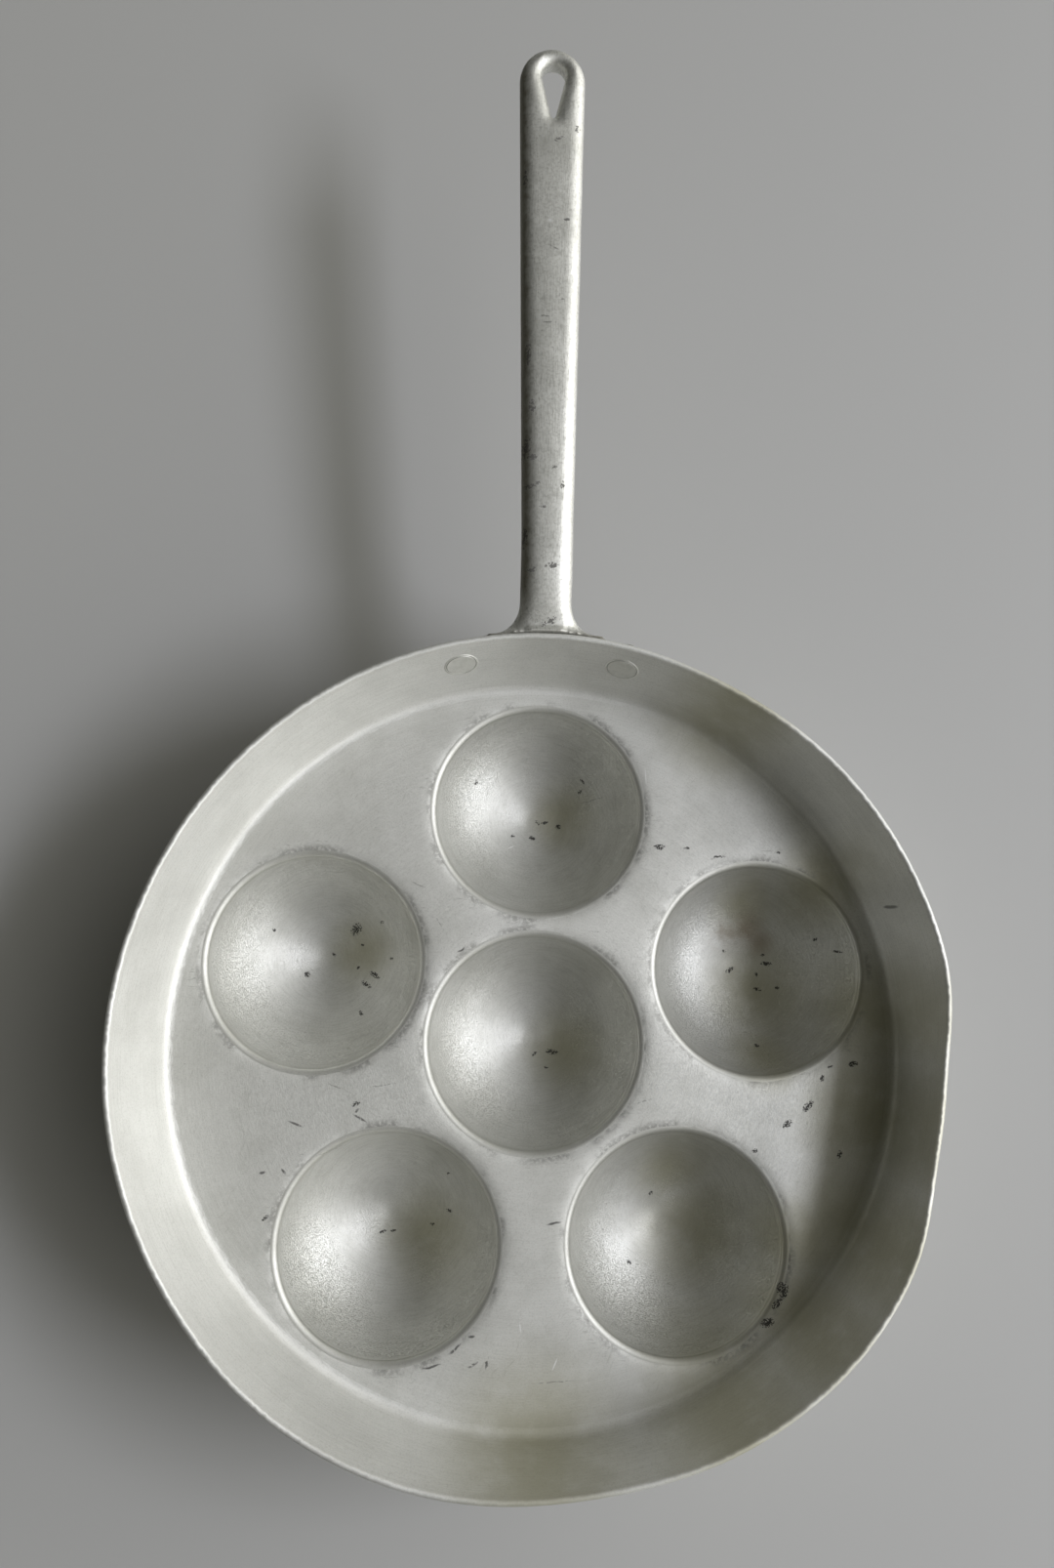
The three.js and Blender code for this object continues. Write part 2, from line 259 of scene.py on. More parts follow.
def pan_side(skin, out, kind_of):
    """One side of the sheet, inside or out, from the bowls over the floor to the top of the wall."""
    plan, loops, triangles = floor_net()
    base = floor_top - out
    spots = skin.ring([Vector((p.x, p.y, base)) for p in plan], 0)
    for index in spots:
        skin.along[index] = skin.points[index].to_2d().length
    for triangle in triangles:
        skin.face([spots[i] for i in triangle], (0, 0, kind_of(FLOOR)))
    for loop, (name, middle) in zip(loops, bowls.items()):
        axis = (*polish_axes[name], kind_of(BOWL))
        ring = None
        for reach, height, way in bowl_profile(out)[:-1]:
            row = skin.ring(circle(middle, reach, max(height, 0), bowl_facets), way)
            if ring is None:
                tip = skin.ring([Vector((middle.x, middle.y, max(bowl_middle - bowl_radius - out, 0)))], 0)
                skin.cap(row, tip[0], axis)
            else:
                skin.band(ring, row, axis)
            ring = row
        edge = [spots[i] for i in loop]
        skin.band(ring, edge, axis)
        for index in edge:
            skin.along[index] = way
    ring = [spots[i] for i in loops[-1]]
    centre = Vector((0, 0))
    axis = (0, 0, kind_of(WALL))
    top = pan_high.z - rim_round
    rows = []
    for i in range(1, corner_rings + 1):
        turn = -math.pi / 2 + (math.pi / 2 - wall_flare) * i / corner_rings
        rows.append((corner_reach + (corner_round + out) * math.cos(turn),
                     corner_middle + (corner_round + out) * math.sin(turn)))
    foot = rows[-1][1]
    for i in range(1, wall_rings + 1):
        height = foot + (top - foot) * i / wall_rings
        rows.append((wall_reach(height, out), height))
    for reach, height in rows:
        row = skin.ring(circle(centre, reach, height, wall_facets), corner_reach + height - floor_top)
        skin.band(ring, row, axis)
        ring = row
    return ring


pan = Skin()
inner_rim = pan_side(pan, 0, lambda kind: kind)
outer_rim = pan_side(pan, sheet, lambda kind: OUTSIDE)
rim_steps = 8
rim_height = pan_high.z - rim_round
rim_reach = wall_reach(rim_height, rim_round)
rim_half = (wall_reach(rim_height, sheet) - wall_reach(rim_height, 0)) / 2
ring = inner_rim
for i in range(1, rim_steps):
    turn = math.pi - math.pi * i / rim_steps
    row = pan.ring(circle(Vector((0, 0)), rim_reach + rim_half * math.cos(turn),
                          rim_height + rim_round * math.sin(turn), wall_facets), pan_high.z)
    pan.band(ring, row, (0, 0, WALL))
    ring = row
pan.band(ring, outer_rim, (0, 0, WALL))
flat = np.array([p.to_2d() for p in pan.points])
lip_gap = np.min([np.hypot(*(flat - np.array(middle)).T) - lip_reach for middle in bowls.values()], axis=0)
pressed_pan = make_piece("pressed_pan", [bent_by_use(p) for p in pan.points], pan.faces)


def note_on(piece, name, kind, domain, values):
    """Keeps a value for each point or face of a piece, for its finish to read."""
    held = piece.data.attributes.new(name, kind, domain)
    field = "vector" if kind == "FLOAT_VECTOR" else "value"
    held.data.foreach_set(field, np.asarray(values, dtype=np.float32).ravel())


note_on(pressed_pan, "axis", "FLOAT_VECTOR", "FACE", pan.axes)
note_on(pressed_pan, "along", "FLOAT", "POINT", np.array(pan.along) / MM)
note_on(pressed_pan, "lip_gap", "FLOAT", "POINT", lip_gap / MM)


class Wire:
    """A value in a finish. Python's operators on it add Math nodes."""

    def __init__(self, finish, socket):
        self.finish = finish
        self.socket = socket

    def maths(self, operation, *values):
        return self.finish.node("ShaderNodeMath", {"operation": operation}, dict(enumerate(values)))

    def __add__(self, other):
        return self.maths("ADD", self, other)

    __radd__ = __add__

    def __sub__(self, other):
        return self.maths("SUBTRACT", self, other)

    def __rsub__(self, other):
        return self.maths("SUBTRACT", other, self)

    def __mul__(self, other):
        return self.maths("MULTIPLY", self, other)

    __rmul__ = __mul__

    def __truediv__(self, other):
        return self.maths("DIVIDE", self, other)

    def __rtruediv__(self, other):
        return self.maths("DIVIDE", other, self)

    def __pow__(self, other):
        return self.maths("POWER", self, other)

    def most(self, other):
        return self.maths("MAXIMUM", self, other)

    def sine(self):
        return self.maths("SINE", self)

    def equals(self, number, slack=0.25):
        return self.maths("COMPARE", self, number, slack)

    def rise(self, low, high):
        """0 below low, 1 above high, with a soft step between."""
        return self.finish.node("ShaderNodeMapRange", {"interpolation_type": "SMOOTHSTEP"},
                                {"Value": self, "From Min": low, "From Max": high})


class Nodes:
    """A tree of nodes, with one way to add any of them."""

    def __init__(self, tree):
        self.tree = tree

    def node(self, kind, settings, sockets, output=0):
        made = self.tree.nodes.new(kind)
        for key, value in settings.items():
            setattr(made, key, value)
        for key, value in sockets.items():
            self.feed(made.inputs[key], value)
        return Wire(self, made.outputs[output])

    def feed(self, socket, value):
        if isinstance(value, Wire):
            self.tree.links.new(value.socket, socket)
        else:
            socket.default_value = value

    def vector(self, operation, *values):
        return self.node("ShaderNodeVectorMath", {"operation": operation}, dict(enumerate(values)))

    def parts(self, vector):
        """The three numbers of a vector."""
        made = self.node("ShaderNodeSeparateXYZ", {}, {0: vector})
        return [Wire(self, socket) for socket in made.socket.node.outputs]

    def joined(self, x, y, z):
        return self.node("ShaderNodeCombineXYZ", {}, {0: x, 1: y, 2: z})

    def noted(self, name, output):
        return self.node("ShaderNodeAttribute", {"attribute_name": name}, {}, output)

    def grain(self, vector, scale, detail=2.0, rough=0.5):
        return self.node("ShaderNodeTexNoise", {"noise_dimensions": "3D"},
                         {"Vector": vector, "Scale": scale, "Detail": detail, "Roughness": rough})

    def tinted(self, share, colour, other):
        made = {"Factor": share, 6: colour, 7: other}
        return self.node("ShaderNodeMix", {"data_type": "RGBA"}, made, 2)

    def spot_in_mm(self):
        place = self.node("ShaderNodeTexCoord", {}, {}, "Object")
        return self.vector("MULTIPLY", place, (1 / MM,) * 3)


class Finish(Nodes):
    """The material of a piece, built around one Principled shader."""

    def __init__(self, name):
        self.material = bpy.data.materials.new(name)
        self.material.use_nodes = True
        super().__init__(self.material.node_tree)
        self.shader = self.tree.nodes["Principled BSDF"]

    def set(self, **sockets):
        for key, value in sockets.items():
            self.feed(self.shader.inputs[key.replace("_", " ")], value)


pan_finish = Finish("pan_sheet")
spot = pan_finish.spot_in_mm()
axis = pan_finish.noted("axis", "Vector")
along = pan_finish.noted("along", "Fac")
gap = pan_finish.noted("lip_gap", "Fac")
axis_x, axis_y, kind = pan_finish.parts(axis)
x, y, _ = pan_finish.parts(spot)
from_x = x - axis_x
from_y = y - axis_y
above_zero = 0.01
reach = (from_x * from_x + from_y * from_y + above_zero) ** 0.5
side_x = from_x / reach
side_y = from_y / reach
in_bowl = kind.equals(BOWL)
on_floor = kind.equals(FLOOR)
on_wall = kind.equals(WALL)
outside = kind.equals(OUTSIDE)

# Polishing lines run round the axis that a bowl was polished about, and round the pan's axis on its wall.
lip_start = bowl_radius * (lip_meets_bowl + math.pi / 2) / MM
lip_blend = 1.2
in_hollow = in_bowl * (1 - along.rise(lip_start - lip_blend, lip_start))
on_lip = in_bowl - in_hollow
track = in_hollow * reach + (1 - in_hollow) * along


def lines_round(changes, lines_in_a_mm, detail, rough):
    """Grain drawn out into lines round an axis, which change a number of times on their way round."""
    place = pan_finish.joined(side_x * changes, side_y * changes, track * lines_in_a_mm)
    return pan_finish.grain(place, 1.0, detail, rough)


fine_lines = lines_round(40, 13, 0.0, 0.5)
broad_lines = lines_round(3, 2.5, 2.0, 0.6)
line_steepness = 14
fine_tilt = in_hollow * reach.rise(0, 4) * 0.3 + on_wall * 0.1 + on_floor * 0.08 + outside * 0.2
broad_tilt = in_hollow * 0.012 + on_wall * 0.03
tilt = ((fine_lines - 0.5) * line_steepness).sine() * fine_tilt + (broad_lines - 0.5) * broad_tilt
normal = pan_finish.node("ShaderNodeNewGeometry", {}, {}, "Normal")
around = pan_finish.joined(0 - side_y, side_x, 0.0)
slope = pan_finish.vector("NORMALIZE", pan_finish.vector("CROSS_PRODUCT", around, normal))
leaning = pan_finish.vector("MULTIPLY", slope, pan_finish.joined(tilt, tilt, tilt))
brushed = pan_finish.vector("NORMALIZE", pan_finish.vector("ADD", normal, leaning))

any_height = 1e6


def closeness(finish, spot, ovals):
    """How far inside any of some ovals a spot lies in plan: 1 at a middle, 0 from an edge outwards.
    An oval is its middle x and y, half length and half width in mm, and its turn in degrees."""
    closest = 0.0
    for middle_x, middle_y, half_length, half_width, turn in ovals:
        in_oval = finish.node("ShaderNodeMapping", {"vector_type": "TEXTURE"}, {
            "Vector": spot, "Location": (middle_x, middle_y, 0), "Rotation": (0, 0, math.radians(turn)),
            "Scale": (half_length, half_width, any_height)})
        share = finish.node("ShaderNodeTexGradient", {"gradient_type": "SPHERICAL"},
                            {"Vector": in_oval}, "Fac")
        closest = share.most(closest)
    return closest


def strokes(lines, width):
    """Thin ovals along some short lines (from x, y to x, y in mm)."""
    ovals = []
    for start_x, start_y, end_x, end_y in lines:
        way = Vector((end_x - start_x, end_y - start_y))
        turn = math.degrees(math.atan2(way.y, way.x))
        ovals.append(((start_x + end_x) / 2, (start_y + end_y) / 2, way.length / 2, width / 2, turn))
    return ovals


def rounds(places):
    """Round places (x, y, reach in mm) as ovals."""
    return [(place_x, place_y, size, size, 0) for place_x, place_y, size in places]


# Marks of use and where they lie on the pan (mm): pits as ovals, scratches as lines, stains as rounds. The
# olive stains are partly real and partly painted shade, laid where the pan lies away from the light.
smear_width = 1.3
dark_scratch_width = 0.85
thin_scratch_width = 0.45
bright_scratch_width = 0.5
wall_smears = [(96.2, 37.7, 98.7, 37.2)]
pits_in_bowls = [
    (-52.1, 31.4, 2.2, 1.7, 60), (-50.2, 26.9, 0.7, 0.6, 0), (-44.4, 33.4, 0.7, 0.5, 0),
    (-41.3, 22.9, 0.6, 0.5, 0), (-51.3, 20.3, 0.7, 0.5, 60), (-46.3, 18.2, 2.1, 0.8, -32),
    (-48.7, 15.4, 1.7, 0.8, -30), (-49.9, 7.3, 1.0, 0.7, -40), (-66.3, 18.1, 1.3, 0.9, -60),
    (-76, 31, 0.5, 0.5, 0), (-58.8, 24.2, 0.5, 0.5, 0), (6.2, -3.8, 2.1, 0.9, -8),
    (1, -4.7, 1.3, 0.4, 40), (4.4, -8.1, 0.7, 0.4, 0), (1.8, 64.5, 1.1, 0.6, -40),
    (3.8, 64.7, 1.2, 0.5, 15), (7.9, 63.3, 1.0, 0.9, 0), (0.1, 59.8, 1.2, 0.8, 0),
    (-6, 60.4, 0.8, 0.6, -30), (14.8, 76.5, 1.0, 0.4, -50), (14.4, 73.5, 0.9, 0.6, 60),
    (-17.6, 75.5, 0.9, 0.7, 60), (60.3, 20.5, 1.7, 0.7, 28), (71.2, 22.5, 2.0, 0.8, -8),
    (70.1, 25.1, 0.8, 0.5, 0), (68.4, 19.1, 0.8, 0.5, 90), (68.3, 14.9, 1.3, 0.6, -10),
    (74, 15.3, 0.6, 0.6, 0), (58.5, 26.2, 0.6, 0.5, 0), (65.7, -1.4, 0.9, 0.6, -40),
    (83.6, 29.5, 0.7, 0.6, 0), (88.4, 25.8, 1.1, 0.4, -15), (-42.3, -54.3, 1.4, 0.4, 20),
    (-39.1, -54.1, 1.0, 0.4, 0), (-28, -51.9, 0.7, 0.6, 0), (-23.3, -47.6, 1.0, 0.6, -10),
    (-23.8, -36.7, 0.6, 0.5, 0), (35.1, -43.7, 1.0, 0.6, 30), (28.2, -62.3, 0.8, 0.6, -40),
]
pits_on_floor = [
    (88.8, -5.6, 1.6, 0.8, 10), (82.2, -6.4, 1.1, 0.5, 10), (79.8, -9.5, 1.1, 0.6, 60),
    (75.5, -17, 2.2, 1.1, 50), (69.6, -21.9, 1.8, 1.1, 40), (84, -30, 1.3, 0.7, 70),
    (60.4, -29, 1.0, 0.7, 0), (67.1, -65, 2.4, 1.7, 80), (65.4, -68.6, 2.0, 1.0, 50),
    (62.6, -73.5, 2.2, 1.3, 20), (34.9, 54.7, 1.8, 0.9, 0), (42.7, 54.4, 1.1, 0.4, 0),
    (52, 52.1, 2.2, 0.4, 0), (69.2, 53.6, 0.6, 0.5, 0), (-49, -16.5, 1.4, 0.8, 30),
    (-72, -46, 1.2, 0.5, 40),
]
dark_scratches = [
    (-67.6, -20.8, -62.5, -22.8), (-50.1, -19.1, -45.7, -21.5), (-49.3, -19.3, -47.8, -17.8),
    (-68.4, -33.3, -67, -35), (-74.4, -34.9, -72.3, -34.1), (-30.3, -84.1, -24, -82.6),
    (-23.1, -80.7, -19.1, -77.6), (-18, -76.2, -15.4, -76.2), (-18.1, -84.4, -14.7, -82),
    (-13, -84.6, -12.1, -80.9), (2.5, -48.2, 7.3, -47.2), (-22.4, 24.2, -20.1, 26),
]
thin_scratches = [
    (-21.1, 41.7, -15.5, 36), (-36.1, 44.1, -31, 42), (13.7, 30.5, 21.8, 30.3), (-29, 35, -24, 27),
    (-61, -31, -50, -27), (-46.1, -12.5, -37.4, -10.9), (-57.6, -10.9, -49.4, -14.2),
    (-2, -88, 12, -87), (13.9, 70.1, 21.8, 71.6), (26.3, -16.8, 33.1, -14.9),
    (-19.4, 28.7, -17.6, 30.5),
]
bright_scratches = [
    (-4.1, -72.4, -3.7, -75.8), (4.4, -85.2, 6.2, -81.2), (31, 78, 31.4, 72), (-8, 56, -5, 57.5),
]
# Olive stains, partly painted shade: most lie on the right of the floor, walls and bowls, where shade
# falls.
stain_and_shade_places = [
    (94, -20, 30), (88, -50, 28), (96, 8, 24), (72, -72, 24), (82, 45, 18), (47, -54, 22),
    (69, 14, 22), (-29, -55, 19), (9, 66, 15), (-51, 25, 14), (10, -3, 17), (50, -92, 30),
    (54, 92, 26), (66, -4, 14), (40, -36, 16), (63, 40, 14), (0, -102, 32), (72, -52, 18),
]
# Paler places, partly wear on the floor and partly painted light: the one at (-42, 9) is a painted
# reflection in a bowl.
worn_and_lit_places = [(-8, 33, 16), (-30, 14, 14), (-42, 9, 15)]
rusty_places = [(59, 31, 7), (65, 32, 8), (69, 29, 6)]

wander = pan_finish.grain(spot, 0.35, 2.0, 0.5)
ragged = pan_finish.vector("ADD", spot, pan_finish.joined((wander - 0.5) * 1.2, (wander - 0.5) * -0.9, 0.0))
speckle = pan_finish.grain(spot, 0.9, 3.0, 0.65)
crumbs = pan_finish.grain(spot, 2.2, 2.0, 0.6)
coarse = pan_finish.grain(spot, 0.1, 2.0, 0.5)
inside = in_bowl + on_floor
bitten = closeness(pan_finish, ragged, pits_in_bowls + pits_on_floor)
pits = (bitten - (crumbs - 0.5) * 6).rise(0.1, 0.5) * bitten.rise(0, 0.15)
pits = pits.most(speckle.rise(0.75, 0.79)) * inside
scratched = closeness(pan_finish, ragged, strokes(dark_scratches, dark_scratch_width))
scratched = scratched.rise(0, 0.6) * inside * speckle.rise(0.34, 0.46)
hairlines = closeness(pan_finish, ragged, strokes(thin_scratches, thin_scratch_width))
hairlines = hairlines.rise(0, 0.6) * inside * speckle.rise(0.4, 0.55)
rubbed = closeness(pan_finish, spot, strokes(bright_scratches, bright_scratch_width))
rubbed = rubbed.rise(0, 0.6) * inside
patchy = pan_finish.grain(spot, 0.12, 3.0, 0.6)
# Stains and painted shade: darker and olive in these rounds.
stain_and_shade = closeness(pan_finish, spot, rounds(stain_and_shade_places)).rise(0, 1) * patchy.rise(-0.2, 0.6)
stain_and_shade = stain_and_shade * (1 - outside * 0.75)
# Painted light in part: these places are paler.
worn_and_lit = closeness(pan_finish, spot, rounds(worn_and_lit_places)).rise(0, 1)
rust = closeness(pan_finish, spot, rounds(rusty_places)).rise(0, 1) * patchy.rise(0.3, 0.6) * inside
level_spot = pan_finish.vector("MULTIPLY", spot, (0.35, 1.6, 1))
ticks = pan_finish.grain(level_spot, 1.1, 2.0, 0.6).rise(0.58, 0.72)
crust = (1 - gap.rise(0.3, 6)) * on_floor * ticks * coarse.rise(0.4, 0.65)
slant = pan_finish.joined((x + y) * 0.12, (x - y) * 1.3, 0.0)
cross_slant = pan_finish.joined((x - y * 0.4) * 1.4, (x * 0.4 + y) * 0.14, 7.0)
scuffs = pan_finish.grain(slant, 1.0, 2.0, 0.6)
cross_scuffs = pan_finish.grain(cross_slant, 1.0, 2.0, 0.6)
scuffed = scuffs.most(cross_scuffs).rise(0.62, 0.74) * on_floor * coarse.rise(0.3, 0.6)
# Grime in a band on the floor round each lip.
darker_band = (1 - gap.rise(0.2, 2.4)) * on_floor * coarse.rise(0.42, 0.6) * speckle.rise(0.3, 0.6)
smear = closeness(pan_finish, ragged, strokes(wall_smears, smear_width)).rise(0, 0.6) * on_wall

bright_metal = (0.7, 0.7, 0.662, 1)
dull_metal = (0.58, 0.58, 0.54, 1)
scored_and_shaded_metal = (0.33, 0.33, 0.29, 1)
olive_stain_and_shade = (0.4, 0.38, 0.235, 1)
rusty_metal = (0.26, 0.17, 0.09, 1)
burnt_crust = (0.16, 0.155, 0.14, 1)
pit_dirt = (0.025, 0.023, 0.02, 1)
pale_metal = (0.9, 0.9, 0.885, 1)
cloud = pan_finish.grain(spot, 0.06, 4.0, 0.6)
colour = pan_finish.tinted(cloud.rise(0.35, 0.7), bright_metal, dull_metal)
paleness = on_wall * 0.36 + on_floor * 0.22 + in_hollow * 0.12 + worn_and_lit * 0.3
colour = pan_finish.tinted(paleness, colour, pale_metal)
line_share = on_wall * 0.14 + in_hollow * 0.2 + on_floor * 0.1
colour = pan_finish.tinted(broad_lines.rise(0.4, 0.75) * line_share, colour, scored_and_shaded_metal)
wear = (crumbs.rise(0.45, 0.75) * 0.22).most(scuffed * 0.3)
colour = pan_finish.tinted(wear, colour, scored_and_shaded_metal)
# Painted shade: the lips are made a little darker to dim their highlight.
colour = pan_finish.tinted(on_lip * 0.2, colour, scored_and_shaded_metal)
# Painted shade in part: the olive stains also darken where the pan lies in shade.
colour = pan_finish.tinted(stain_and_shade * 0.6, colour, olive_stain_and_shade)
colour = pan_finish.tinted(rust * 0.5, colour, rusty_metal)
grey_mark = (crust * 0.5).most(darker_band * 0.55).most(hairlines * 0.5)
colour = pan_finish.tinted(grey_mark, colour, burnt_crust)
dark_mark = pits.most(scratched * 0.85).most(smear * 0.6)
colour = pan_finish.tinted(dark_mark * 0.95, colour, pit_dirt)
colour = pan_finish.tinted(rubbed * 0.7, colour, pale_metal)
roughness = 0.5 + in_hollow * 0.03 + on_lip * 0.06 + on_floor * 0.14 + on_wall * 0.1 + outside * 0.1
roughness = roughness + (cloud - 0.5) * 0.16
bare_metal = 0.85
metallic = bare_metal - dark_mark * 0.6 - on_floor * 0.1 - on_wall * 0.25 - in_hollow * 0.12
worked = pan_finish.node("ShaderNodeBump", {}, {
    "Strength": 0.4, "Distance": 0.05 * MM, "Height": crumbs, "Normal": brushed})
pan_finish.set(Base_Color=colour, Roughness=roughness, Metallic=metallic, Normal=worked)
pressed_pan.data.materials.append(pan_finish.material)
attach(pressed_pan, "root")
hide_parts("pan_body")

# The handle: one aluminium casting. A flat bar with rounded edges has a teardrop eye to hang it by, and
# flares at its root into a curved plate with two wings, which the rivets hold against the wall.
_, handle_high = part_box("handle")
seat_gap = 0.3 * MM
rivet_spacing = 45 * MM
rivet_below_rim = 9.7 * MM
rivet_height = pan_high.z - rivet_below_rim
plate_thickness = 2.2 * MM
plate_wing = 6 * MM
plate_middle = 8.5 * MM
plate_edge = 0.9 * MM
plate_back = sheet + seat_gap
bar_above_rivets = 9.4 * MM
bar_rise = math.radians(5.5)
bar_root_width = 14.1 * MM
bar_end_width = 18.5 * MM
bar_root_thickness = 9 * MM
bar_end_thickness = 6.5 * MM
bar_edge = 2.8 * MM
bar_edge_across = 4 * MM
bend_length = 30 * MM
bend_radius = 50 * MM
fillet_across = 9 * MM
fillet_up = 3.6 * MM
eye_radius = 3.3 * MM
eye_length = 16 * MM
eye_tip = 0.5 * MM
eye_from_end = 4.6 * MM
eye_step = 0.5 * MM
bar_off_middle = 0.4 * MM
eye_off_middle = 0.3 * MM
bar_root_crown = 0.9 * MM
bar_end_crown = 0.4 * MM
bar_root = Vector((0, wall_reach(rivet_height, plate_back), rivet_height + bar_above_rivets))
bar_start = plate_thickness / math.cos(wall_flare)
bar_length = (handle_high.y - bar_root.y) / math.cos(bar_rise)
bar_end_middle = bar_length - bar_end_width / 2
eye_middle = bar_length - eye_from_end - eye_radius


def fillet_swell(distance, size):
    """How far a concave fillet stands out at a distance from the face that it runs into."""
    inside = min(max(size - distance, 0), size)
    return size - math.sqrt(size ** 2 - inside ** 2)


def edge_drop(distance, across, down):
    """How far a rounded edge lies below the face at a distance from the outline."""
    inside = min(max(across - distance, 0), across) / across
    return down * (1 - math.sqrt(1 - inside ** 2))


def bar_half_width(y):
    widening = min(max((y - bend_length) / (bar_end_middle - bend_length), 0), 1)
    taper = bar_root_width + (bar_end_width - bar_root_width) * widening
    return taper / 2 + fillet_swell(y - bar_start, fillet_across)


def bar_half_thickness(y):
    taper = bar_root_thickness + (bar_end_thickness - bar_root_thickness) * y / bar_length
    return taper / 2 + fillet_swell(y - bar_start, fillet_up)


def filled(line, step):
    """A closed line with points added along its longer pieces."""
    spots = []
    for i, spot in enumerate(line):
        count = math.ceil((spot - line[i - 1]).length / step)
        spots.extend(line[i - 1].lerp(spot, (k + 1) / count) for k in range(count))
    return spots


rim_step = 0.6 * MM
rim_slack = 0.98
grid_off_edge = 1.3


def slab(outline, holes, insets, grid):
    """A flat shape as a net: points in plan, how far each lies in from the edge, its loops and triangles.
    Rows of points along each edge carry its rounding, and stop where they would come nearer to another."""
    lines = [outline] + holes
    plan = [spot for line in lines for spot in line]
    rims = [spot for line in lines for spot in filled(line, rim_step)]
    depth = [0.0] * len(plan)
    loops = []
    edges = []
    for line in lines:
        first = sum(len(loop) for loop in loops)
        loops.append(list(range(first, first + len(line))))
        edges.extend((loops[-1][i - 1], loops[-1][i]) for i in range(len(line)))
        for inset in insets:
            for i, spot in enumerate(line):
                way = line[(i + 1) % len(line)] - line[i - 1]
                shifted = spot + Vector((-way.y, way.x)).normalized() * inset
                if min((shifted - p).length for p in rims) > inset * rim_slack:
                    plan.append(shifted)
                    depth.append(inset)
    for spot in grid:
        away = min((spot - p).length for p in rims)
        if away > insets[-1] * grid_off_edge and on_slab(spot, outline, holes):
            plan.append(spot)
            depth.append(away)
    net, _, triangles, came_from, _, _ = delaunay_2d_cdt(plan, edges, [], 0, same_spot / 10)
    kept = []
    for triangle in triangles:
        middle = sum((net[i] for i in triangle), Vector((0, 0))) / 3
        if on_slab(middle, outline, holes):
            kept.append([came_from[i][0] for i in triangle])
    return plan, depth, loops, kept


def inside_of(spot, line):
    """True if a spot lies inside a closed line."""
    inside = False
    for i, corner in enumerate(line):
        before = line[i - 1]
        if (corner.y > spot.y) != (before.y > spot.y):
            cross = before.x + (corner.x - before.x) * (spot.y - before.y) / (corner.y - before.y)
            if spot.x < cross:
                inside = not inside
    return inside


def on_slab(spot, outline, holes):
    return inside_of(spot, outline) and not any(inside_of(spot, hole) for hole in holes)


def solid_of(name, net, top, bottom):
    """A closed piece from a net, with functions that place a point of its upper and its lower side."""
    plan, depth, loops, triangles = net
    points = [top(p, d) for p, d in zip(plan, depth)] + [bottom(p, d) for p, d in zip(plan, depth)]
    count = len(plan)
    faces = [tuple(t) for t in triangles] + [tuple(i + count for i in t) for t in triangles]
    for loop in loops:
        for i, corner in enumerate(loop):
            faces.append((loop[i - 1], corner, corner + count, loop[i - 1] + count))
    return make_piece(name, points, faces)


def steps(start, end, count):
    return [start + (end - start) * i / count for i in range(count + 1)]


side_stations = [-fillet_across, -fillet_across / 2, 0]
side_stations += [bar_start + fillet_across * (1 - math.cos(t)) for t in steps(0, math.pi / 2, 12)]
side_stations += steps(side_stations[-1], bar_end_middle, 60)[1:]
right_side = [Vector((bar_half_width(y), y)) for y in side_stations]
end_turns = steps(0, math.pi, 48)[1:-1]
end_centre = Vector((0, bar_end_middle))
round_end = [Vector((math.cos(t), math.sin(t))) * (bar_end_width / 2) + end_centre for t in end_turns]
left_side = [Vector((-p.x, p.y)) for p in reversed(right_side)]
bar_outline = right_side + round_end + left_side

tip_y = eye_middle + eye_radius - eye_length + eye_tip
flank_lean = math.asin((eye_radius - eye_tip) / (eye_middle - tip_y))
round_turns = steps(-flank_lean, math.pi + flank_lean, 44)
tip_turns = steps(math.pi + flank_lean, 2 * math.pi - flank_lean, 10)
eye_top = Vector((eye_off_middle, eye_middle))
eye_point = Vector((eye_off_middle, tip_y))
eye_line = [Vector((math.cos(t), math.sin(t))) * eye_radius + eye_top for t in round_turns]
eye_line += [Vector((math.cos(t), math.sin(t))) * eye_tip + eye_point for t in tip_turns]
eye_line = filled(eye_line, eye_step)
eye_line.reverse()

grid_across = 1.6 * MM
grid_along = 2.4 * MM
grid_columns = range(-7, 8)
grid_rows = range(75)
bar_grid = [Vector((x * grid_across, y * grid_along)) for x in grid_columns for y in grid_rows]
edge_insets = [bar_edge_across * (1 - math.cos(t)) for t in steps(0, math.pi / 2, 8)[1:]]
bar_net = slab(bar_outline, [eye_line], edge_insets, bar_grid)
bar_turn = Matrix.Translation(bar_root) @ Matrix.Rotation(bar_rise, 4, "X")


def bar_point(spot, inset, side):
    bend = max(bend_length - spot.y, 0) ** 2 / (2 * bend_radius)
    share = min(max(spot.y / bar_length, 0), 1)
    crown = bar_root_crown + (bar_end_crown - bar_root_crown) * share
    crown *= 1 - (spot.x / bar_half_width(spot.y)) ** 2
    height = bar_half_thickness(spot.y) - edge_drop(inset, bar_edge_across, bar_edge) + crown
    return bar_turn @ Vector((spot.x + bar_off_middle, spot.y, side * height - bend))


def plate_outline():
    """The plate unrolled: a wide middle and two wings, joined by straight lines."""
    spread = rivet_spacing / 2
    tilt = math.asin((plate_middle - plate_wing) / spread)
    line = []
    for turn in steps(tilt - math.pi / 2, math.pi / 2 - tilt, 20):
        line.append(Vector((spread + plate_wing * math.cos(turn), plate_wing * math.sin(turn))))
    for turn in steps(math.pi / 2 - tilt, math.pi / 2 + tilt, 6):
        line.append(Vector((math.cos(turn), math.sin(turn))) * plate_middle)
    return line + [-p for p in line]


plate_insets = [plate_edge * (1 - math.cos(t)) for t in steps(0, math.pi / 2, 4)[1:]]
plate_grid = [Vector((x, y)) * 2 * MM for x in range(-15, 16) for y in range(-5, 6)]
plate_net = slab(plate_outline(), [], plate_insets, plate_grid)


